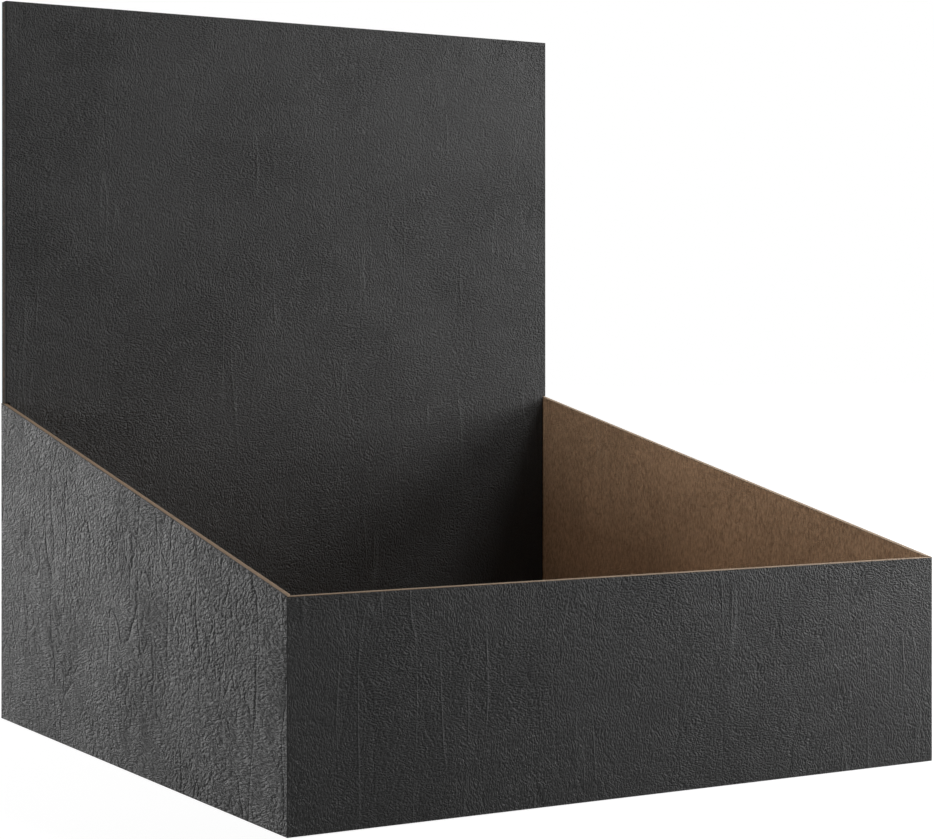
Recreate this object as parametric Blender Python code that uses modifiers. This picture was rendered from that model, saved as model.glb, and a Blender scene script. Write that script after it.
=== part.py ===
"""Counter display box: an open tray of solid board with sloping sides and a tall roll-over header.

The board is black on its printed face and bare kraft on the other. One blank makes the box: four walls in
a band, a header rolled over the rear wall, and a floor hung from the rear wall with tuck lips on three sides.
Each panel between two creases is its own object. A crease that only opens hinges on the outer face and is
mitred inside; a crease that can fold further shut hinges on the inner face, and its edges stay square.

Metres, +Z up, +Y to the rear. The origin is on the table, under the middle of the box.
"""

import math

import bmesh
import bpy
from mathutils import Matrix, Vector

MM = 0.001

# Driving sizes of the erected box, in millimetres
WIDTH = 300.0
DEPTH = 300.0
FRONT_HEIGHT = 85.0
SIDE_REAR_HEIGHT = 147.0
HEADER_HEIGHT = 333.0
BOARD = 2.5

# Header above the side walls
HEADER_INSET = 1.2
SHOULDER_GAP = 0.3
ROLL_GAP = 0.7
FOOT_DEPTH = 30.0
FOOT_WIDTH = 230.0
FOOT_TAPER = 12.0
CHAMFER_RISE = 18.0

# Floor lips
LIP_HEIGHT = 25.0
LIP_TAPER = 27.0
LIP_END_GAP = 4.0
FRONT_LIP_CLEARANCE = 1.8

# Seam flap, glued inside the left wall
SEAM_WIDTH = 35.0
SEAM_SETBACK = 2.5
SEAM_TAPER = 8.0
SEAM_TOP_GAP = 12.0
SEAM_BOTTOM_GAP = 5.0

# Fits and edges
PLY_GAP = 0.3
FOLD_RELIEF = 0.2
SWING_CLEARANCE = 0.5
EDGE_ROUND = 0.3
EDGE_ROUND_STEPS = 2
FLAP_RADIUS = 6.0
ARC_STEPS = 4

# Planes that several panels share
LEFT = -WIDTH / 2
RIGHT = WIDTH / 2
FRONT = -DEPTH / 2
REAR = DEPTH / 2
SIDE_SLOPE = (SIDE_REAR_HEIGHT - FRONT_HEIGHT) / DEPTH
ROLL_WIDTH = 2 * BOARD + ROLL_GAP
HEADER_FRONT = REAR - ROLL_WIDTH
INNER_LEFT = LEFT + BOARD + PLY_GAP
INNER_RIGHT = RIGHT - BOARD - PLY_GAP
LIP_FRONT = FRONT + BOARD + FRONT_LIP_CLEARANCE
FLOOR_LEFT = INNER_LEFT + BOARD
FLOOR_RIGHT = INNER_RIGHT - BOARD
FLOOR_FRONT = LIP_FRONT + BOARD
LIP_FOOT = BOARD + PLY_GAP
FOOT_TOP = 2 * BOARD + PLY_GAP
LIP_TOP = LIP_FOOT + LIP_HEIGHT
SHOULDER_HEIGHT = SIDE_REAR_HEIGHT + SHOULDER_GAP
FACE_SHOULDER_HEIGHT = SHOULDER_HEIGHT - SIDE_SLOPE * (ROLL_WIDTH - BOARD)
SEAM_FOOT = LIP_TOP + SEAM_BOTTOM_GAP

# What an edge of a panel is: cut off square, or mitred on the inside of a fold
CUT = "cut"
MITRE = "mitre"

AXES = {
    "+x": Vector((1, 0, 0)),
    "-x": Vector((-1, 0, 0)),
    "+y": Vector((0, 1, 0)),
    "-y": Vector((0, -1, 0)),
    "+z": Vector((0, 0, 1)),
    "-z": Vector((0, 0, -1)),
}

BLACK_PRINT = (0.028, 0.028, 0.028, 1.0)
BARE_KRAFT = (0.19, 0.115, 0.065, 1.0)


def clear_scene():
    """Removes every object, so that the model starts from an empty scene."""
    for old in list(bpy.data.objects):
        bpy.data.objects.remove(old, do_unlink=True)


def board_material(name, colour, roughness):
    """A plain material for one face of the board."""
    material = bpy.data.materials.new(name)
    material.use_nodes = True
    shader = material.node_tree.nodes["Principled BSDF"]
    shader.inputs["Base Color"].default_value = colour
    shader.inputs["Roughness"].default_value = roughness
    shader.inputs["Metallic"].default_value = 0.0
    material.diffuse_color = colour
    return material


def placed(origin, u_axis, v_axis):
    """The frame of a panel: u and v lie along its face, and w = u x v goes into the board."""
    u = AXES[u_axis]
    v = AXES[v_axis]
    rotation = Matrix((u, v, u.cross(v))).transposed().to_4x4()
    return Matrix.Translation(Vector(origin) * MM) @ rotation


def crossing(point, along, other_point, other_along):
    """Where two lines of the plane cross."""
    offset = other_point - point
    slant = along.x * other_along.y - along.y * other_along.x
    reach = (offset.x * other_along.y - offset.y * other_along.x) / slant
    return point + along * reach


def set_back(points, distances):
    """Moves each edge of a counter-clockwise outline inwards by its own distance."""
    lines = []
    for index, start in enumerate(points):
        along = (points[(index + 1) % len(points)] - start).normalized()
        inward = Vector((-along.y, along.x))
        lines.append((start + inward * distances[index], along))
    return [crossing(*lines[index - 1], *lines[index]) for index in range(len(points))]


def corner_arc(before, corner, after, radius):
    """The points of a round corner, or the corner itself where its radius is zero."""
    if radius == 0:
        return [corner]
    back = (before - corner).normalized()
    ahead = (after - corner).normalized()
    half_angle = back.angle(ahead) / 2
    centre = corner + (back + ahead).normalized() * (radius / math.sin(half_angle))
    first = corner + back * (radius / math.tan(half_angle)) - centre
    sweep = math.pi - 2 * half_angle
    arc = []
    for step in range(ARC_STEPS + 1):
        turn = Matrix.Rotation(sweep * step / ARC_STEPS, 2)
        arc.append(centre + turn @ first)
    return arc


def rounded(points, radii):
    """A counter-clockwise outline with its corners rounded."""
    outline = []
    for index, corner in enumerate(points):
        after = points[(index + 1) % len(points)]
        outline += corner_arc(points[index - 1], corner, after, radii[index])
    return outline


def face_outlines(corners, edges):
    """The outlines of a panel's outer and inner faces, set back at each fold to make its mitre."""
    points = [Vector(corner[:2]) for corner in corners]
    radii = [corner[2] if len(corner) > 2 else 0 for corner in corners]
    outer_distance = {CUT: 0.0, MITRE: FOLD_RELIEF}
    inner_distance = {CUT: 0.0, MITRE: FOLD_RELIEF + BOARD}
    outer = set_back(points, [outer_distance[edge] for edge in edges])
    inner = set_back(points, [inner_distance[edge] for edge in edges])
    return rounded(outer, radii), rounded(inner, radii)


def mark_round_edges(mesh):
    """Gives the rims of the square-cut edges the weight that the bevel follows."""
    weight = mesh.edges.layers.float.new("bevel_weight_edge")
    for edge in mesh.edges:
        normals = [face.normal for face in edge.link_faces]
        is_rim = abs(abs(normals[0].z) - abs(normals[1].z)) > 0.99
        edge[weight] = 1.0 if is_rim else 0.0


def panel_mesh(name, corners, edges, outer_depth):
    """One panel of board: its outer face, extruded through the board to its inner face."""
    outer, inner = face_outlines(corners, edges)
    mesh = bmesh.new()
    rim = [mesh.verts.new((point.x * MM, point.y * MM, outer_depth * MM)) for point in outer]
    face = mesh.faces.new(rim)
    pushed = bmesh.ops.extrude_face_region(mesh, geom=[face], use_keep_orig=True)["geom"]
    far_rim = [item for item in pushed if isinstance(item, bmesh.types.BMVert)]
    starts = {tuple(vert.co): index for index, vert in enumerate(rim)}
    for vert in far_rim:
        point = inner[starts[tuple(vert.co)]]
        vert.co = (point.x * MM, point.y * MM, (outer_depth + BOARD) * MM)
    bmesh.ops.recalc_face_normals(mesh, faces=mesh.faces)
    mark_round_edges(mesh)
    data = bpy.data.meshes.new(name)
    mesh.to_mesh(data)
    mesh.free()
    return data


def paint(data):
    """Black on the outer face, bare kraft on the inner face and on the edges."""
    data.materials.append(board_material(data.name + "_print", BLACK_PRINT, 0.6))
    data.materials.append(board_material(data.name + "_kraft", BARE_KRAFT, 0.8))
    for face in data.polygons:
        face.material_index = 0 if face.normal.z < -0.99 else 1


def add_panel(name, frame, corners, edges, carrier, outer_depth=0.0):
    """Adds a panel to the model, in its frame, carried by another panel or by the box itself."""
    data = panel_mesh(name, corners, edges, outer_depth)
    paint(data)
    piece = bpy.data.objects.new(name, data)
    carrier.users_collection[0].objects.link(piece)
    rim = piece.modifiers.new("rounded_rim", "BEVEL")
    rim.limit_method = "WEIGHT"
    rim.width = EDGE_ROUND * MM
    rim.segments = EDGE_ROUND_STEPS
    piece.parent = carrier
    bpy.context.view_layer.update()
    piece.matrix_basis = carrier.matrix_world.inverted() @ frame
    bpy.context.view_layer.update()
    return piece


def trapezoid(half_width, height, taper):
    """Corners of a flap that stands on its crease and narrows towards its rounded free edge."""
    return [
        (-half_width, 0),
        (half_width, 0),
        (half_width - taper, height, FLAP_RADIUS),
        (taper - half_width, height, FLAP_RADIUS),
    ]


def add_walls(box):
    """The band of walls: the front, the sloping sides, and the rear wall that goes up to the header's top.
    The left wall stops short of the rear fold, where it is glued over the seam flap."""
    add_panel(
        "front_wall",
        placed((0, FRONT, 0), "-x", "+z"),
        [(LEFT, 0), (RIGHT, 0), (RIGHT, FRONT_HEIGHT), (LEFT, FRONT_HEIGHT)],
        [CUT, MITRE, CUT, MITRE],
        box,
    )
    left_end = REAR - SEAM_SETBACK
    left_end_height = SIDE_REAR_HEIGHT - SIDE_SLOPE * SEAM_SETBACK
    add_panel(
        "left_wall",
        placed((LEFT, 0, 0), "+y", "+z"),
        [(FRONT, 0), (left_end, 0), (left_end, left_end_height), (FRONT, FRONT_HEIGHT)],
        [CUT, CUT, CUT, MITRE],
        box,
    )
    add_panel(
        "right_wall",
        placed((RIGHT, 0, 0), "-y", "+z"),
        [(-REAR, 0), (-FRONT, 0), (-FRONT, FRONT_HEIGHT), (-REAR, SIDE_REAR_HEIGHT)],
        [CUT, MITRE, CUT, MITRE],
        box,
    )
    return add_rear_wall(box)


def add_rear_wall(box):
    """The rear wall fits between the side walls below its shoulders and rises to the header's top."""
    header_left = LEFT + HEADER_INSET
    header_right = RIGHT - HEADER_INSET
    return add_panel(
        "rear_wall",
        placed((0, REAR, 0), "+x", "+z"),
        [
            (INNER_LEFT, 0),
            (RIGHT, 0),
            (RIGHT, SHOULDER_HEIGHT),
            (header_right, SHOULDER_HEIGHT),
            (header_right, HEADER_HEIGHT),
            (header_left, HEADER_HEIGHT),
            (header_left, SHOULDER_HEIGHT),
            (INNER_LEFT, SHOULDER_HEIGHT),
        ],
        [MITRE, MITRE, CUT, CUT, MITRE, CUT, CUT, MITRE],
        box,
    )


def add_seam_flap(rear_wall):
    """The flap on the rear wall's left edge that is glued inside the left wall and closes the band."""
    seam_top = SIDE_REAR_HEIGHT - SEAM_TOP_GAP
    add_panel(
        "seam_flap",
        placed((INNER_LEFT, REAR, 0), "+y", "+z"),
        [
            (0, SEAM_FOOT),
            (0, seam_top),
            (-SEAM_WIDTH, seam_top - SEAM_TAPER, FLAP_RADIUS),
            (-SEAM_WIDTH, SEAM_FOOT + SEAM_TAPER, FLAP_RADIUS),
        ],
        [MITRE, CUT, CUT, CUT],
        rear_wall,
    )


def add_header(rear_wall):
    """The roll-over: a narrow spine on top, the face that hangs to the floor, and the foot that lies on it."""
    header_left = LEFT + HEADER_INSET
    header_right = RIGHT - HEADER_INSET
    spine = add_panel(
        "header_spine",
        placed((0, REAR, HEADER_HEIGHT), "+x", "-y"),
        [(header_left, 0), (header_right, 0), (header_right, ROLL_WIDTH), (header_left, ROLL_WIDTH)],
        [MITRE, CUT, MITRE, CUT],
        rear_wall,
    )
    face = add_header_face(spine)
    add_panel(
        "header_foot",
        placed((0, HEADER_FRONT - PLY_GAP, FOOT_TOP), "+x", "-y"),
        trapezoid(FOOT_WIDTH / 2, FOOT_DEPTH, FOOT_TAPER),
        [CUT, CUT, CUT, CUT],
        face,
    )


def add_header_face(spine):
    """The header's printed front. Below its shoulders it fits between the side walls, clear of the seam flap,
    and its lower corners are chamfered, so that it swings past the side lips."""
    header_left = LEFT + HEADER_INSET
    header_right = RIGHT - HEADER_INSET
    face_left = FLOOR_LEFT + SWING_CLEARANCE
    face_right = RIGHT - BOARD - SWING_CLEARANCE
    face_foot = FOOT_TOP + PLY_GAP
    chamfer_top = LIP_TOP + CHAMFER_RISE
    chamfer_slope = (face_right - FLOOR_RIGHT + SWING_CLEARANCE) / CHAMFER_RISE
    chamfer_width = chamfer_slope * (chamfer_top - face_foot)
    shoulder_drop = HEADER_HEIGHT - FACE_SHOULDER_HEIGHT
    chamfer_drop = HEADER_HEIGHT - chamfer_top
    face_drop = HEADER_HEIGHT - face_foot
    return add_panel(
        "header_face",
        placed((0, HEADER_FRONT, HEADER_HEIGHT), "+x", "-z"),
        [
            (header_left, 0),
            (header_right, 0),
            (header_right, shoulder_drop),
            (face_right, shoulder_drop),
            (face_right, chamfer_drop),
            (face_right - chamfer_width, face_drop),
            (face_left + chamfer_width, face_drop),
            (face_left, chamfer_drop),
            (face_left, shoulder_drop),
            (header_left, shoulder_drop),
        ],
        [MITRE, CUT, CUT, CUT, CUT, CUT, CUT, CUT, CUT, CUT],
        spine,
    )


def add_floor(rear_wall):
    """The floor hangs from the rear wall's bottom crease, and its three lips tuck up inside the walls."""
    floor_length = REAR - FLOOR_FRONT
    floor = add_panel(
        "floor_panel",
        placed((0, REAR, 0), "-x", "-y"),
        [(FLOOR_LEFT, 0), (FLOOR_RIGHT, 0), (FLOOR_RIGHT, floor_length), (FLOOR_LEFT, floor_length)],
        [MITRE, CUT, CUT, CUT],
        rear_wall,
    )
    front_half = FLOOR_RIGHT - LIP_END_GAP
    side_half = (HEADER_FRONT - FLOOR_FRONT) / 2 - LIP_END_GAP
    side_middle = (HEADER_FRONT + FLOOR_FRONT) / 2
    lips = {
        "floor_front_lip": ((0, FLOOR_FRONT, LIP_FOOT), "-x", front_half),
        "floor_left_lip": ((FLOOR_LEFT, side_middle, LIP_FOOT), "+y", side_half),
        "floor_right_lip": ((FLOOR_RIGHT, side_middle, LIP_FOOT), "-y", side_half),
    }
    for name, (origin, u_axis, half_width) in lips.items():
        add_panel(
            name,
            placed(origin, u_axis, "+z"),
            trapezoid(half_width, LIP_HEIGHT, LIP_TAPER),
            [CUT, CUT, CUT, CUT],
            floor,
            outer_depth=-BOARD,
        )


def main():
    clear_scene()
    collection = bpy.data.collections.new("counter_display_box")
    bpy.context.scene.collection.children.link(collection)
    box = bpy.data.objects.new("box_frame", None)
    collection.objects.link(box)
    rear_wall = add_walls(box)
    add_seam_flap(rear_wall)
    add_header(rear_wall)
    add_floor(rear_wall)


main()
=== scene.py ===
"""Looks of the counter display box: black printed board, bare kraft inside, folded into a tray with a header.

The walls and the roll-over header are drawn again with rounded folds and rims, in place of their CAD solids.
The floor, its lips, the foot and the seam flap keep their CAD solids, and strips of board bridge the creases.
Lengths are in metres.
"""

import math

import bmesh
import bpy
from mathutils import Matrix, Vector


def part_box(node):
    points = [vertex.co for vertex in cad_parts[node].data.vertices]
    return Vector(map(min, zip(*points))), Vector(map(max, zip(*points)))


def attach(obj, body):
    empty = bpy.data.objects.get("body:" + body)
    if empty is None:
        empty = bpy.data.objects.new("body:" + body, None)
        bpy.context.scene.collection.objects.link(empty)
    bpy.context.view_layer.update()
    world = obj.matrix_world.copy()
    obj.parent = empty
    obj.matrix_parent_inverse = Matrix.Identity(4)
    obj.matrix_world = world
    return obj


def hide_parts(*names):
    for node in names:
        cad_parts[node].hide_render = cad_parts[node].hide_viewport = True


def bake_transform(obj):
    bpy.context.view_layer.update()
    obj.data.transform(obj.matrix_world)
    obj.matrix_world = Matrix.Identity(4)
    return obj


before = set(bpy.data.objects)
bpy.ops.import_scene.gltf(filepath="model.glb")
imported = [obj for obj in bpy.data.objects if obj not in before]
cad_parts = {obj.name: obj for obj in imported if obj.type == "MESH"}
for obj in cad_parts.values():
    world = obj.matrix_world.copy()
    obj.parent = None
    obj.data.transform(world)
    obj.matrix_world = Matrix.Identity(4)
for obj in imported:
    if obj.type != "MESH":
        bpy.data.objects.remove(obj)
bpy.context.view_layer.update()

# Sizes that the frame's boxes do not give
FOLD_RADIUS = 0.0004
RIM_RADIUS = 0.0003
SHOULDER_GAP = 0.0003
SHOULDER_FIT = 0.0001
SHOULDER_DROP = 0.003
SEAM_STEP = 0.00005
SWING_CLEARANCE = 0.0005
CHAMFER_RISE = 0.018
FOLD_STEPS = 4
RIM_STEPS = 3
BEND_STEPS = 8
PLY_GAP = 0.0003
SKIN_DEPTH = 0.00005
SKIN_THICKNESS = 0.00015
SKIN_REACH = 0.0005
BEND_CORE = 0.00005
SMOOTH_ANGLE = math.radians(35)
FOLD_ROUND_DEPTH = FOLD_RADIUS * (1 - math.cos(math.pi / 4))

# Directions
LEFTWARD = (-1, 0, 0)
RIGHTWARD = (1, 0, 0)
FORWARD = (0, -1, 0)
REARWARD = (0, 1, 0)
DOWN = (0, 0, -1)
UP = (0, 0, 1)

# Camera of the photograph: level, with the frame shifted off its axis
IMAGE_WIDTH = 934
CAMERA_PLACE = (-0.5077, -0.8689, 0.1734)
CAMERA_AZIMUTH = math.radians(29.862)
FOCAL_PIXELS = 2280.9
SENSOR_WIDTH = 36.0
SHIFT_X = 0.0473
SHIFT_Y = -0.0799
CLIP_START = 0.01

# Stage: the floor's size and glow, the light from all round, and each softbox's place, size and watts
FLOOR_SIZE = 14.0
FLOOR_GAP = 0.0004
FLOOR_GLOW = 0.88
SHADOW_REACH = 0.35
FLOOR_WHITE_REACH = 0.9
AMBIENT = 0.05
LIGHT_AIM = (0, 0, 0.12)
SOFTBOXES = {
    "rear_left": ((-0.7, 1.2, 0.3), 0.5, 16.0),
    "left": ((-0.9, 0.15, 0.45), 0.4, 1.5),
    "left_low": ((-1.2, -0.3, 0.17), 0.2, 4.1),
    "right_low": ((0.8, -0.3, 0.3), 0.4, 5.7),
    "right_near": ((0.6, -0.25, 0.25), 0.3, 2.6),
    "right_high": ((0.5, -0.15, 0.75), 0.3, 4.9),
}

# Grain of the side walls against the other faces: its stretch along and up, its height and its cracks
PRINT_SIDE = {"stretch": (0.33, 1.1), "grain": 3.5, "cracks": 3.2}
KRAFT_SIDE = {"stretch": (0.8, 0.9), "grain": 0.9, "cracks": 0.9}

# Grain, in features to the metre along a face and up it, and how far it wanders
PEBBLES_UPRIGHT = (1650, 900, 1)
PEBBLES_LYING = (1000, 1500, 1)
PEBBLES_TINY = (2900, 2500, 1)
CRACKS_LONG = (44, 12, 1)
CRACKS_SHORT = (110, 80, 1)
STREAKS = (75, 5, 1)
STREAK_PATCHES = (50, 20, 1)
KRAFT_FIBRES = (1250, 430, 1)
GRAIN_WANDER = 0.005

# The grain deepens between two heights, by a factor
DEEPER_FROM = 0.1
DEEPER_TO = 0.2
DEEPER_BY = 1.6

# How far a normal leans to an axis for its face to count as a side wall or a level one, or as square to it
SIDE_FACING = 0.75
FLAT_FACING = 0.99

# How far apart in the noise the faces that look along X, and along Y, lie
X_FACES_APART = 0.7
Y_FACES_APART = 0.31

# Where a noise has most of its values
NOISE_LOW = 0.3
NOISE_HIGH = 0.7

# Colours: the darker and paler tone of each face, the painted shade in its cracks and the painted highlight
# on its streaks
PRINT_TONES = ((0.027, 0.027, 0.027, 1), (0.034, 0.034, 0.034, 1))
PRINT_CRACK_SHADE = (0.006, 0.006, 0.006, 1)
PRINT_STREAK_HIGHLIGHT = (0.07, 0.07, 0.07, 1)
KRAFT_TONES = ((0.295, 0.186, 0.111, 1), (0.52, 0.339, 0.208, 1))
KRAFT_CRACK_SHADE = (0.12, 0.07, 0.04, 1)
KRAFT_STREAK_HIGHLIGHT = (0.6, 0.42, 0.28, 1)
RAW_TONES = ((0.15, 0.102, 0.064, 1), (0.23, 0.161, 0.104, 1))
INK_TONES = ((0.01, 0.01, 0.01, 1), (0.017, 0.017, 0.017, 1))

# Relief of each face
PRINT_RELIEF = 0.00044
KRAFT_RELIEF = 0.0006
EDGE_RELIEF = 0.0001

# What an edge of a panel is: folded, cut raw, cut with the print drawn over its outer rim, or cut and inked
FOLD = "fold"
CUT = "cut"
LAPPED = "lapped"
INKED = "inked"

# The places of the materials on every panel
PRINT_INDEX, KRAFT_INDEX, RAW_INDEX, INK_INDEX = range(4)

# Planes and heights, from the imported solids
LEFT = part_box("left_wall")[0].x
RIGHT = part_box("right_wall")[1].x
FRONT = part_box("front_wall")[0].y
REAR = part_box("rear_wall")[1].y
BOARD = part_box("front_wall")[1].y - FRONT
FRONT_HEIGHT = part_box("front_wall")[1].z
SIDE_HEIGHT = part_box("right_wall")[1].z
LEFT_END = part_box("left_wall")[1].y
LEFT_END_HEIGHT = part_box("left_wall")[1].z
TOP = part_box("header_spine")[1].z
HEADER_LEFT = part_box("header_spine")[0].x
HEADER_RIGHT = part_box("header_spine")[1].x
FACE_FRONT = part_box("header_face")[0].y
FACE_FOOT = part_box("header_face")[0].z
SEAM_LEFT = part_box("seam_flap")[0].x
LIP_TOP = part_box("floor_left_lip")[1].z
LIP_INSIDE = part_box("floor_left_lip")[1].x
SIDE_SLOPE = (SIDE_HEIGHT - FRONT_HEIGHT) / (REAR - FRONT)
ROLL_WIDTH = REAR - FACE_FRONT
LEFT_SHOULDER = LEFT_END_HEIGHT - SHOULDER_DROP
RIGHT_SHOULDER = SIDE_HEIGHT + SHOULDER_GAP
FACE_SHOULDER = SIDE_HEIGHT - SIDE_SLOPE * (ROLL_WIDTH - BOARD) + SHOULDER_FIT
SEAM_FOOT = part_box("seam_flap")[0].z
SEAM_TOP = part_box("seam_flap")[1].z


# Shapes


def cut_set_back(depth, inner_rim):
    """How far a cut edge is set back at a depth in the board, where its outer and inner rims are rounded."""
    from_face = min(depth, BOARD - depth) if inner_rim else depth
    if from_face >= RIM_RADIUS:
        return 0.0
    return RIM_RADIUS - math.sqrt(RIM_RADIUS ** 2 - (RIM_RADIUS - from_face) ** 2)


def fold_set_back(depth):
    """How far a folded edge is set back: round outside as far as the middle of the fold, then mitred."""
    if depth >= FOLD_ROUND_DEPTH:
        return depth
    turn = math.acos(1 - depth / FOLD_RADIUS)
    return FOLD_RADIUS * (1 - math.sin(turn))


def set_back(edge, depth):
    """How far an edge of a panel is set back at a depth in the board. An inked edge is sharp inside."""
    if edge == FOLD:
        return fold_set_back(depth)
    return cut_set_back(depth, edge != INKED)


def board_depths():
    """The depths in the board at which a panel's outline is drawn, from the outer face to the inner face."""
    depths = {0.0, BOARD}
    for step in range(1, FOLD_STEPS + 1):
        depths.add(FOLD_RADIUS * (1 - math.cos(math.pi / 4 * step / FOLD_STEPS)))
    for step in range(1, RIM_STEPS + 1):
        from_face = RIM_RADIUS * (1 - math.cos(math.pi / 2 * step / RIM_STEPS))
        depths.add(from_face)
        depths.add(BOARD - from_face)
    return sorted(depths)


def crossing(point, along, other_point, other_along):
    """Where two lines of the plane cross."""
    offset = other_point - point
    slant = along.x * other_along.y - along.y * other_along.x
    reach = (offset.x * other_along.y - offset.y * other_along.x) / slant
    return point + along * reach


def set_back_outline(corners, distances):
    """Moves each edge of a counter-clockwise outline inwards by its own distance."""
    lines = []
    for index, start in enumerate(corners):
        along = (corners[(index + 1) % len(corners)] - start).normalized()
        inward = Vector((-along.y, along.x))
        lines.append((start + inward * distances[index], along))
    return [crossing(*lines[index - 1], *lines[index]) for index in range(len(corners))]


def new_piece(name, mesh):
    """An object made of a mesh in the making."""
    bmesh.ops.recalc_face_normals(mesh, faces=mesh.faces)
    data = bpy.data.meshes.new(name)
    mesh.to_mesh(data)
    mesh.free()
    piece = bpy.data.objects.new(name, data)
    bpy.context.scene.collection.objects.link(piece)
    for material in BOARD_MATERIALS:
        data.materials.append(material)
    return piece


def panel(name, axes, corners, edges, node, body):
    """A panel of board in place of a CAD node. Its outline runs counter-clockwise, seen from inside."""
    origin, u_axis, v_axis = [Vector(value) for value in axes]
    into_board = u_axis.cross(v_axis)
    points = [Vector(corner) for corner in corners]
    mesh = bmesh.new()
    rings = []
    for depth in board_depths():
        set_backs = [set_back(edge, depth) for edge in edges]
        outline = set_back_outline(points, set_backs)
        ring = [origin + u_axis * p.x + v_axis * p.y + into_board * depth for p in outline]
        rings.append([mesh.verts.new(place) for place in ring])
    mesh.faces.new(reversed(rings[0]))
    mesh.faces.new(rings[-1])
    for ring, next_ring in zip(rings, rings[1:]):
        for index in range(len(ring)):
            after = (index + 1) % len(ring)
            mesh.faces.new((ring[index], ring[after], next_ring[after], next_ring[index]))
    piece = new_piece(name, mesh)
    dress_panel(piece, -into_board, edges)
    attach(piece, body)
    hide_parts(node)
    return piece


def edge_material(edge, depth):
    """The material index of an edge at a depth in the board."""
    if edge == INKED:
        return INK_INDEX
    printed_depth = {FOLD: FOLD_ROUND_DEPTH, LAPPED: RIM_RADIUS, CUT: 0.0}[edge]
    return PRINT_INDEX if depth < printed_depth else RAW_INDEX


def dress_panel(piece, outward, edges):
    """Print on the outer face, kraft on the inner face, and on the edges what each one is."""
    data = piece.data
    depths = board_depths()
    middles = [(depth + next_depth) / 2 for depth, next_depth in zip(depths, depths[1:])]
    bands = [edge_material(edge, middle) for middle in middles for edge in edges]
    outer_first = data.polygons[0].normal.dot(outward) > 0
    faces = [PRINT_INDEX, KRAFT_INDEX] if outer_first else [KRAFT_INDEX, PRINT_INDEX]
    data.polygons.foreach_set("material_index", faces + bands)
    data.shade_smooth()
    data.set_sharp_from_angle(angle=SMOOTH_ANGLE)


def add_walls():
    """The band of four walls. The rear one folds into the seam flap, and is cut square above and below it."""
    panel(
        "front_panel",
        ((0, FRONT, 0), LEFTWARD, UP),
        [(-RIGHT, 0), (-LEFT, 0), (-LEFT, FRONT_HEIGHT), (-RIGHT, FRONT_HEIGHT)],
        [LAPPED, FOLD, CUT, FOLD],
        "front_wall",
        "carton",
    )
    panel(
        "left_panel",
        ((LEFT, 0, 0), REARWARD, UP),
        [(FRONT, 0), (LEFT_END, 0), (LEFT_END, LEFT_END_HEIGHT), (FRONT, FRONT_HEIGHT)],
        [LAPPED, CUT, LAPPED, FOLD],
        "left_wall",
        "carton",
    )
    panel(
        "right_panel",
        ((RIGHT, 0, 0), FORWARD, UP),
        [(-REAR, 0), (-FRONT, 0), (-FRONT, FRONT_HEIGHT), (-REAR, SIDE_HEIGHT)],
        [LAPPED, FOLD, CUT, FOLD],
        "right_wall",
        "carton",
    )
    panel(
        "rear_panel",
        ((0, REAR, 0), RIGHTWARD, UP),
        [
            (SEAM_LEFT, 0),
            (RIGHT, 0),
            (RIGHT, RIGHT_SHOULDER),
            (HEADER_RIGHT, RIGHT_SHOULDER),
            (HEADER_RIGHT, TOP),
            (HEADER_LEFT, TOP),
            (HEADER_LEFT, LEFT_SHOULDER),
            (SEAM_LEFT, LEFT_SHOULDER),
            (SEAM_LEFT, SEAM_TOP),
            (SEAM_LEFT + SEAM_STEP, SEAM_TOP),
            (SEAM_LEFT + SEAM_STEP, SEAM_FOOT),
            (SEAM_LEFT, SEAM_FOOT),
        ],
        [FOLD, FOLD, INKED, INKED, FOLD, INKED, INKED, CUT, CUT, FOLD, CUT, CUT],
        "rear_wall",
        "carton",
    )


def add_header():
    """The spine and the printed face of the roll-over header, which steps in where the seam flap lies."""
    panel(
        "spine_panel",
        ((0, REAR, TOP), RIGHTWARD, FORWARD),
        [(HEADER_LEFT, 0), (HEADER_RIGHT, 0), (HEADER_RIGHT, ROLL_WIDTH), (HEADER_LEFT, ROLL_WIDTH)],
        [FOLD, INKED, FOLD, INKED],
        "header_spine",
        "header_spine",
    )
    face_left = LIP_INSIDE + SWING_CLEARANCE
    face_right = RIGHT - BOARD - SWING_CLEARANCE
    seam_step = SEAM_TOP + SWING_CLEARANCE
    chamfer_top = LIP_TOP + CHAMFER_RISE
    chamfer_width = (face_right + face_left) / CHAMFER_RISE * (chamfer_top - FACE_FOOT)
    panel(
        "face_panel",
        ((0, FACE_FRONT, TOP), RIGHTWARD, DOWN),
        [
            (HEADER_LEFT, 0),
            (HEADER_RIGHT, 0),
            (HEADER_RIGHT, TOP - FACE_SHOULDER),
            (face_right, TOP - FACE_SHOULDER),
            (face_right, TOP - chamfer_top),
            (face_right - chamfer_width, TOP - FACE_FOOT),
            (face_left + chamfer_width, TOP - FACE_FOOT),
            (face_left, TOP - chamfer_top),
            (face_left, TOP - seam_step),
            (-face_right, TOP - seam_step),
            (-face_right, TOP - FACE_SHOULDER),
            (HEADER_LEFT, TOP - FACE_SHOULDER),
        ],
        [FOLD] + [INKED] * 11,
        "header_face",
        "header_face",
    )


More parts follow.
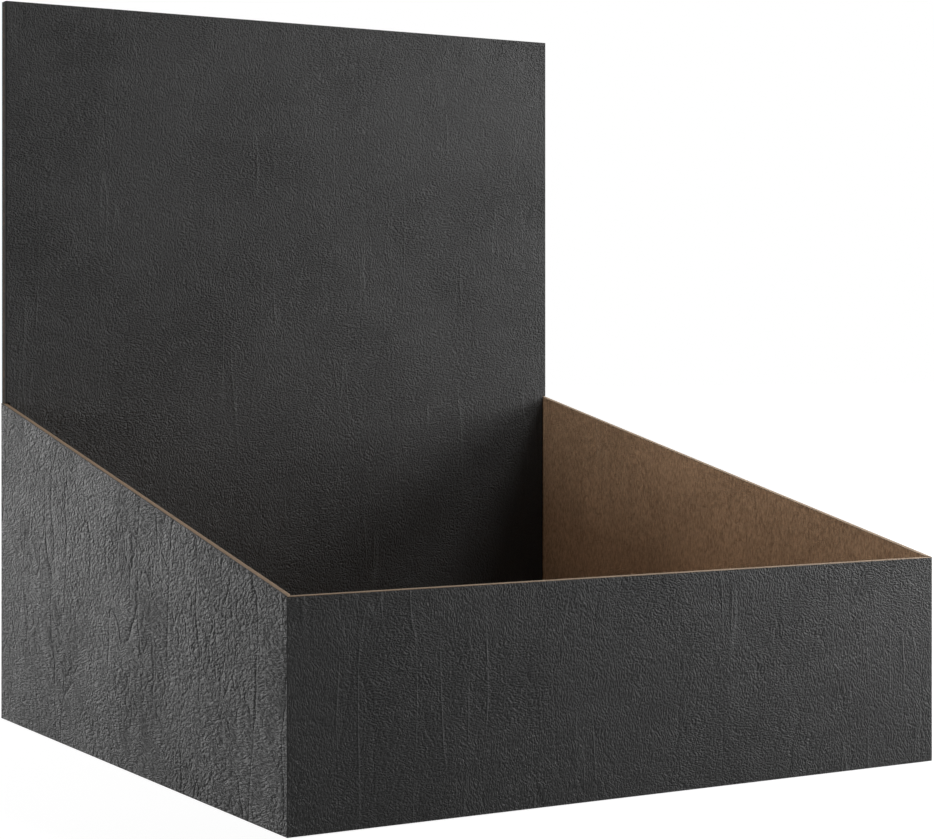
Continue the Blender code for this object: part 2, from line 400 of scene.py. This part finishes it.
def crease_strip(name, ends, outer, inner, looks):
    """A closed strip along a crease, from its outer to its inner profile, turning from one panel to the
    other.
    """
    mesh = bmesh.new()
    profile = outer + inner[::-1]
    first, last = [[mesh.verts.new(end + offset) for offset in profile] for end in ends]
    mesh.faces.new(first)
    mesh.faces.new(reversed(last))
    for index in range(len(profile)):
        after = (index + 1) % len(profile)
        mesh.faces.new((first[index], last[index], last[after], first[after]))
    piece = new_piece(name, mesh)
    outer_look, inner_look = looks
    spans = len(outer) - 1
    bands = [RAW_INDEX] * 2 + [outer_look] * spans + [RAW_INDEX] + [inner_look] * spans + [RAW_INDEX]
    piece.data.polygons.foreach_set("material_index", bands)
    piece.data.shade_smooth()
    piece.data.set_sharp_from_angle(angle=SMOOTH_ANGLE)
    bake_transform(piece)


def skin_profile(along_a, along_b, depth):
    """The line at a depth under a rounded fold, from one panel's face to the other's."""
    radius = FOLD_RADIUS - depth
    reach = FOLD_RADIUS + SKIN_REACH
    profile = [along_a * reach + along_b * depth]
    for step in range(BEND_STEPS + 1):
        turn = math.pi / 2 * step / BEND_STEPS
        across = FOLD_RADIUS - radius * math.sin(turn)
        profile.append(along_a * across + along_b * (FOLD_RADIUS - radius * math.cos(turn)))
    return profile + [along_b * reach + along_a * depth]


def fold_skin(name, corner, half_width, along_a, along_b):
    """The printed skin of a mitred fold."""
    ends = [Vector((side * half_width, *corner)) for side in (-1, 1)]
    along_a, along_b = Vector(along_a), Vector(along_b)
    outer = skin_profile(along_a, along_b, SKIN_DEPTH)
    inner = skin_profile(along_a, along_b, SKIN_DEPTH + SKIN_THICKNESS)
    crease_strip(name, ends, outer, inner, (PRINT_INDEX, KRAFT_INDEX))


def bend_profile(out_a, out_b, radius_a, radius_b):
    """A quarter turn about a hinge line, from one panel's edge to the other's."""
    profile = []
    for step in range(BEND_STEPS + 1):
        turn = math.pi / 2 * step / BEND_STEPS
        radius = radius_a + (radius_b - radius_a) * step / BEND_STEPS
        profile.append((out_a * math.cos(turn) + out_b * math.sin(turn)) * radius)
    return profile


def board_bend(name, ends, out_a, out_b, looks):
    """The bent board at a crease that folds shut, round the hinge line on its inner face."""
    ends = [Vector(end) for end in ends]
    out_a, out_b = Vector(out_a), Vector(out_b)
    outer = bend_profile(out_a, out_b, BOARD + PLY_GAP, BOARD)
    inner = bend_profile(out_a, out_b, PLY_GAP, BEND_CORE)
    crease_strip(name, ends, outer, inner, looks)


def add_fold_skins():
    """Skins of the three mitred folds that open."""
    header_half = HEADER_RIGHT - PLY_GAP
    floor_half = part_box("floor_panel")[1].x - PLY_GAP
    fold_skin("spine_skin", (REAR, TOP), header_half, DOWN, FORWARD)
    fold_skin("face_skin", (FACE_FRONT, TOP), header_half, REARWARD, DOWN)
    fold_skin("floor_skin", (REAR, 0), floor_half, UP, FORWARD)


def lip_bend(name, ends, outward):
    """The bend between the floor and one of its lips, printed outside."""
    board_bend(name, ends, DOWN, outward, (PRINT_INDEX, KRAFT_INDEX))


def side_crease(lip, crease_x):
    """The ends of a side lip's crease."""
    low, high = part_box(lip)
    return [(crease_x, low.y, low.z), (crease_x, high.y, low.z)]


def add_board_bends():
    """Bends of the floor's three lips and of the header's foot."""
    floor_low, floor_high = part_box("floor_panel")
    left_crease = side_crease("floor_left_lip", floor_low.x)
    right_crease = side_crease("floor_right_lip", floor_high.x)
    low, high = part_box("floor_front_lip")
    front_crease = [(low.x, high.y, low.z), (high.x, high.y, low.z)]
    lip_bend("floor_left_bend", left_crease, LEFTWARD)
    lip_bend("floor_right_bend", right_crease, RIGHTWARD)
    lip_bend("floor_front_bend", front_crease, FORWARD)
    low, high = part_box("header_foot")
    foot_crease = [(low.x, high.y, high.z), (high.x, high.y, high.z)]
    looks = (KRAFT_INDEX, PRINT_INDEX)
    board_bend("foot_bend", foot_crease, REARWARD, DOWN, looks)


def dress_cad_nodes():
    """Print, kraft and raw edges on the solids that stay: which way each one's printed face looks."""
    printed_sides = {
        "floor_panel": DOWN,
        "floor_front_lip": FORWARD,
        "floor_left_lip": LEFTWARD,
        "floor_right_lip": RIGHTWARD,
        "seam_flap": LEFTWARD,
        "header_foot": UP,
    }
    for node, side in printed_sides.items():
        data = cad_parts[node].data
        data.materials.clear()
        for material in BOARD_MATERIALS:
            data.materials.append(material)
        outward = Vector(side)
        for face in data.polygons:
            facing = face.normal.dot(outward)
            face_index = PRINT_INDEX if facing > 0 else KRAFT_INDEX
            face.material_index = face_index if abs(facing) > FLAT_FACING else RAW_INDEX


# Materials


class Nodes:
    """Short calls that add shader nodes to one material's tree."""

    def __init__(self, tree):
        self.tree = tree

    def add(self, kind, **settings):
        node = self.tree.nodes.new(kind)
        for key, value in settings.items():
            setattr(node, key, value)
        return node

    def feed(self, socket, value):
        if isinstance(value, bpy.types.NodeSocket):
            self.tree.links.new(value, socket)
        else:
            socket.default_value = value

    def math(self, operation, first, second=0.0, third=0.0, clamp=False):
        node = self.add("ShaderNodeMath", operation=operation, use_clamp=clamp)
        for socket, value in zip(node.inputs, (first, second, third)):
            self.feed(socket, value)
        return node.outputs[0]

    def vector(self, operation, first, second=(0.0, 0.0, 0.0), scale=1.0):
        node = self.add("ShaderNodeVectorMath", operation=operation)
        self.feed(node.inputs[0], first)
        self.feed(node.inputs[1], second)
        if operation == "SCALE":
            self.feed(node.inputs["Scale"], scale)
        return node.outputs["Vector"]

    def noise(self, place, scale, detail=2.0, roughness=0.5, distortion=0.0):
        node = self.add("ShaderNodeTexNoise", noise_dimensions="3D")
        self.feed(node.inputs["Vector"], place)
        node.inputs["Scale"].default_value = scale
        node.inputs["Detail"].default_value = detail
        node.inputs["Roughness"].default_value = roughness
        node.inputs["Distortion"].default_value = distortion
        return node.outputs["Fac"], node.outputs["Color"]

    def ramp(self, value, low, high, to_low=0.0, to_high=1.0):
        node = self.add("ShaderNodeMapRange", interpolation_type="SMOOTHSTEP")
        for name, number in (("Value", value), ("From Min", low), ("From Max", high)):
            self.feed(node.inputs[name], number)
        self.feed(node.inputs["To Min"], to_low)
        self.feed(node.inputs["To Max"], to_high)
        return node.outputs["Result"]

    def mix_number(self, share, first, second):
        node = self.add("ShaderNodeMix", data_type="FLOAT")
        for name, value in (("Factor", share), ("A", first), ("B", second)):
            self.feed(node.inputs[name], value)
        return node.outputs["Result"]

    def mix_colour(self, share, first, second):
        node = self.add("ShaderNodeMix", data_type="RGBA")
        self.feed(node.inputs["Factor"], share)
        self.feed(node.inputs["A"], first)
        self.feed(node.inputs["B"], second)
        return node.outputs["Result"]


def face_place(nodes):
    """Where a point lies on its panel, in metres along the face and up it, and whether it is a side wall."""
    coordinates = nodes.add("ShaderNodeTexCoord")
    place = nodes.add("ShaderNodeSeparateXYZ")
    nodes.feed(place.inputs[0], coordinates.outputs["Object"])
    look = nodes.add("ShaderNodeSeparateXYZ")
    nodes.feed(look.inputs[0], nodes.vector("ABSOLUTE", coordinates.outputs["Normal"]))
    signed = nodes.add("ShaderNodeSeparateXYZ")
    nodes.feed(signed.inputs[0], coordinates.outputs["Normal"])
    sideways = nodes.math("GREATER_THAN", look.outputs["X"], SIDE_FACING)
    level = nodes.math("GREATER_THAN", look.outputs["Z"], SIDE_FACING)
    along = nodes.math("MULTIPLY", sideways, nodes.math("SUBTRACT", place.outputs["Y"], place.outputs["X"]))
    along = nodes.math("ADD", place.outputs["X"], along)
    up = nodes.math("MULTIPLY", level, nodes.math("SUBTRACT", place.outputs["Y"], place.outputs["Z"]))
    up = nodes.math("ADD", place.outputs["Z"], up)
    side = nodes.math("MULTIPLY", nodes.math("ROUND", signed.outputs["X"]), X_FACES_APART)
    front_or_rear = nodes.math("MULTIPLY", nodes.math("ROUND", signed.outputs["Y"]), Y_FACES_APART)
    side = nodes.math("ADD", side, front_or_rear)
    joined = nodes.add("ShaderNodeCombineXYZ")
    for socket, value in zip(joined.inputs, (along, up, side)):
        nodes.feed(socket, value)
    return joined.outputs[0], sideways


def ridges(nodes, value, sharpness):
    """Thin lines where a noise passes its middle value."""
    away = nodes.math("ABSOLUTE", nodes.math("MULTIPLY_ADD", value, 2.0, -1.0))
    return nodes.math("POWER", nodes.math("SUBTRACT", 1.0, away, clamp=True), sharpness)


def masked(nodes, value, place, scale, low, high):
    """A value that comes and goes over the face."""
    return nodes.math("MULTIPLY", value, nodes.ramp(nodes.noise(place, scale, 2.0)[0], low, high))


def pebble_height(nodes, place, stretch):
    """Dense leathery pebbles, here upright and there lying, with finer ones among them."""
    drift = nodes.vector("SUBTRACT", nodes.noise(place, 90.0, 2.0)[1], (0.5, 0.5, 0.5))
    wandering = nodes.vector("ADD", place, nodes.vector("SCALE", drift, scale=GRAIN_WANDER))
    wandering = nodes.vector("MULTIPLY", wandering, stretch)
    upright = nodes.noise(nodes.vector("MULTIPLY", wandering, PEBBLES_UPRIGHT), 1.0, 1.5, 0.5)[0]
    lying = nodes.noise(nodes.vector("MULTIPLY", wandering, PEBBLES_LYING), 1.0, 1.5, 0.5)[0]
    fine = nodes.mix_number(nodes.ramp(nodes.noise(place, 16.0, 1.0)[0], 0.4, 0.6), upright, lying)
    tiny = nodes.noise(nodes.vector("MULTIPLY", wandering, PEBBLES_TINY), 1.0, 1.0)[0]
    return nodes.math("MULTIPLY_ADD", tiny, 0.4, nodes.ramp(fine, 0.31, 0.61))


def crack_height(nodes, place):
    """Long jagged cracks, and patches where short ones run together."""
    drift = nodes.vector("SUBTRACT", nodes.noise(place, 130.0, 4.0, 0.6)[1], (0.5, 0.5, 0.5))
    wandering = nodes.vector("ADD", place, nodes.vector("SCALE", drift, scale=GRAIN_WANDER))
    long_noise = nodes.noise(nodes.vector("MULTIPLY", wandering, CRACKS_LONG), 1.0, 1.0)[0]
    long_cracks = masked(nodes, ridges(nodes, long_noise, 60.0), place, 24.0, 0.4, 0.5)
    short_noise = nodes.noise(nodes.vector("MULTIPLY", wandering, CRACKS_SHORT), 1.0, 1.0)[0]
    short_cracks = masked(nodes, ridges(nodes, short_noise, 26.0), place, 26.0, 0.47, 0.6)
    return nodes.math("MAXIMUM", long_cracks, short_cracks)


def streak_height(nodes, place):
    """Long raised uprights that come and go."""
    uprights = ridges(nodes, nodes.noise(nodes.vector("MULTIPLY", place, STREAKS), 1.0, 2.0)[0], 60.0)
    return masked(nodes, uprights, nodes.vector("MULTIPLY", place, STREAK_PATCHES), 1.0, 0.5, 0.65)


def grain_height(nodes, place, sideways, side):
    """The embossed face of the board: pebbles on a slight swell, deeper high up, with cracks and streaks."""
    stretch = nodes.mix_colour(sideways, (1.0, 1.0, 1.0, 1), (*side["stretch"], 1.0, 1))
    rise = nodes.add("ShaderNodeSeparateXYZ")
    nodes.feed(rise.inputs[0], place)
    vigour = nodes.ramp(nodes.noise(place, 21.0, 2.0)[0], 0.35, 0.65, 0.75, 1.25)
    vigour = nodes.math("MULTIPLY", vigour, nodes.mix_number(sideways, 1.0, side["grain"]))
    deeper = nodes.ramp(rise.outputs["Y"], DEEPER_FROM, DEEPER_TO, 1.0, DEEPER_BY)
    vigour = nodes.math("MULTIPLY", vigour, deeper)
    height = nodes.math("MULTIPLY", pebble_height(nodes, place, stretch), vigour)
    height = nodes.math("MULTIPLY_ADD", nodes.noise(place, 45.0, 2.0)[0], 0.8, height)
    crack_share = nodes.mix_number(sideways, 0.6, side["cracks"])
    cracks = nodes.math("MULTIPLY", crack_height(nodes, place), crack_share)
    streaks = streak_height(nodes, place)
    height = nodes.math("SUBTRACT", height, cracks)
    return nodes.math("ADD", height, streaks), cracks, streaks


def new_material(name, colour, roughness, specular):
    material = bpy.data.materials.new(name)
    material.use_nodes = True
    material.diffuse_color = colour
    shader = material.node_tree.nodes["Principled BSDF"]
    shader.inputs["Base Color"].default_value = colour
    shader.inputs["Roughness"].default_value = roughness
    shader.inputs["Specular IOR Level"].default_value = specular
    return material, shader, Nodes(material.node_tree)


def emboss(nodes, shader, height, depth):
    bump = nodes.add("ShaderNodeBump")
    bump.inputs["Distance"].default_value = depth
    nodes.feed(bump.inputs["Height"], height)
    nodes.feed(shader.inputs["Normal"], bump.outputs["Normal"])


def two_tones(nodes, value, tones):
    """A colour between a darker and a paler tone, as a noise goes."""
    return nodes.mix_colour(nodes.ramp(value, NOISE_LOW, NOISE_HIGH), *tones)


def print_material():
    """Black printed face with its embossed grain, with painted shade darkening its cracks and a painted
    highlight paling its raised streaks.
    """
    material, shader, nodes = new_material("black_print", (0.03, 0.03, 0.03, 1), 0.6, 0.15)
    place, sideways = face_place(nodes)
    height, cracks, streaks = grain_height(nodes, place, sideways, PRINT_SIDE)
    cloud = nodes.noise(place, 14.0, 3.0)[0]
    colour = two_tones(nodes, cloud, PRINT_TONES)
    # Painted shade: the cracks of the grain are darkened in the colour.
    colour = nodes.mix_colour(nodes.math("MULTIPLY", cracks, 0.2, clamp=True), colour, PRINT_CRACK_SHADE)
    # Painted highlight: the raised streaks are paled in the colour.
    colour = nodes.mix_colour(nodes.math("MULTIPLY", streaks, 0.4), colour, PRINT_STREAK_HIGHLIGHT)
    nodes.feed(shader.inputs["Base Color"], colour)
    nodes.feed(shader.inputs["Roughness"], nodes.ramp(cloud, NOISE_LOW, NOISE_HIGH, 0.55, 0.65))
    emboss(nodes, shader, height, PRINT_RELIEF)
    return material


def kraft_material():
    """Bare kraft face: brown, fibrous, with the grain pressed through from the printed face, painted shade
    darkening its cracks and a painted highlight paling its streaks.
    """
    material, shader, nodes = new_material("bare_kraft", (0.41, 0.253, 0.15, 1), 0.8, 0.15)
    place, sideways = face_place(nodes)
    height, cracks, streaks = grain_height(nodes, place, sideways, KRAFT_SIDE)
    fibre = nodes.noise(nodes.vector("MULTIPLY", place, KRAFT_FIBRES), 1.0, 2.0, 0.6)[0]
    cloud = nodes.noise(place, 18.0, 3.0)[0]
    tone = nodes.math("MULTIPLY_ADD", fibre, 0.88, nodes.math("MULTIPLY", cloud, 0.12))
    colour = two_tones(nodes, tone, KRAFT_TONES)
    # Painted shade: the cracks of the grain are darkened in the colour.
    colour = nodes.mix_colour(nodes.math("MULTIPLY", cracks, 0.15), colour, KRAFT_CRACK_SHADE)
    # Painted highlight: the raised streaks are paled in the colour.
    colour = nodes.mix_colour(nodes.math("MULTIPLY", streaks, 0.4), colour, KRAFT_STREAK_HIGHLIGHT)
    nodes.feed(shader.inputs["Base Color"], colour)
    emboss(nodes, shader, height, KRAFT_RELIEF)
    return material


def raw_edge_material():
    """Cut edge of the board: pale kraft, in thin layers along the edge."""
    material, shader, nodes = new_material("raw_edge", (0.19, 0.131, 0.084, 1), 0.65, 0.3)
    place = nodes.add("ShaderNodeTexCoord").outputs["Object"]
    layers = nodes.noise(place, 900.0, 2.0)[0]
    fleck = nodes.noise(place, 2600.0, 2.0)[0]
    tone = nodes.math("MULTIPLY_ADD", layers, 0.6, nodes.math("MULTIPLY", fleck, 0.4))
    colour = two_tones(nodes, tone, RAW_TONES)
    nodes.feed(shader.inputs["Base Color"], colour)
    emboss(nodes, shader, tone, EDGE_RELIEF)
    return material


def inked_edge_material():
    """Cut edge of the header, inked to match the print: dark and dull, with the fibres showing a little."""
    material, shader, nodes = new_material("inked_edge", (0.0135, 0.0135, 0.0135, 1), 0.85, 0.05)
    place = nodes.add("ShaderNodeTexCoord").outputs["Object"]
    fibre = nodes.noise(place, 1500.0, 3.0)[0]
    colour = nodes.mix_colour(nodes.ramp(fibre, 0.35, NOISE_HIGH), *INK_TONES)
    nodes.feed(shader.inputs["Base Color"], colour)
    emboss(nodes, shader, fibre, EDGE_RELIEF)
    return material


# Stage


def seen_directly(nodes):
    """1 for a ray from the camera, or through gloss or glass, and 0 for light that falls on the object."""
    rays = nodes.add("ShaderNodeLightPath")
    seen = nodes.math("MAXIMUM", rays.outputs["Is Camera Ray"], rays.outputs["Is Glossy Ray"])
    return nodes.math("MAXIMUM", seen, rays.outputs["Is Transmission Ray"])


def floor_material():
    """Pale floor: white to the eye, but for the box's shadow close to it."""
    material, shader, nodes = new_material("pale_floor", (0.3, 0.3, 0.3, 1), 0.9, 0.0)
    place = nodes.add("ShaderNodeTexCoord").outputs["Object"]
    reach = nodes.add("ShaderNodeVectorMath", operation="LENGTH")
    nodes.feed(reach.inputs[0], place)
    glow = nodes.ramp(reach.outputs["Value"], SHADOW_REACH, FLOOR_WHITE_REACH, FLOOR_GLOW, 1.0)
    shader.inputs["Emission Color"].default_value = (1, 1, 1, 1)
    nodes.feed(shader.inputs["Emission Strength"], nodes.math("MULTIPLY", seen_directly(nodes), glow))
    return material


def add_floor():
    bpy.ops.mesh.primitive_plane_add(size=FLOOR_SIZE, location=(0, 0, -FLOOR_GAP))
    floor = bpy.context.object
    floor.name = "studio_floor"
    floor.data.materials.append(floor_material())


def add_world():
    """Soft light from all round, and a white backdrop to the eye."""
    world = bpy.data.worlds.new("studio")
    bpy.context.scene.world = world
    world.use_nodes = True
    nodes = Nodes(world.node_tree)
    background = world.node_tree.nodes["Background"]
    background.inputs["Color"].default_value = (1, 1, 1, 1)
    strength = nodes.mix_number(seen_directly(nodes), AMBIENT, 1.0)
    nodes.feed(background.inputs["Strength"], strength)


def add_softbox(name, place, aim, size, power):
    light = bpy.data.lights.new(name, "AREA")
    light.shape = "SQUARE"
    light.size = size
    light.energy = power
    lamp = bpy.data.objects.new(name, light)
    lamp.location = place
    lamp.rotation_euler = (Vector(aim) - Vector(place)).to_track_quat("-Z", "Y").to_euler()
    bpy.context.scene.collection.objects.link(lamp)


def add_lights():
    for name, (place, size, power) in SOFTBOXES.items():
        add_softbox(name, place, LIGHT_AIM, size, power)


def add_camera():
    data = bpy.data.cameras.new("photo_camera")
    data.sensor_width = SENSOR_WIDTH
    data.lens = FOCAL_PIXELS / IMAGE_WIDTH * SENSOR_WIDTH
    data.shift_x = SHIFT_X
    data.shift_y = SHIFT_Y
    data.clip_start = CLIP_START
    camera = bpy.data.objects.new("photo_camera", data)
    camera.location = CAMERA_PLACE
    camera.rotation_euler = (math.pi / 2, 0, -CAMERA_AZIMUTH)
    bpy.context.scene.collection.objects.link(camera)
    bpy.context.scene.camera = camera


BOARD_MATERIALS = [print_material(), kraft_material(), raw_edge_material(), inked_edge_material()]

add_walls()
add_header()
add_fold_skins()
add_board_bends()
dress_cad_nodes()
add_floor()
add_world()
add_lights()
add_camera()
bpy.context.scene.view_settings.view_transform = "Standard"
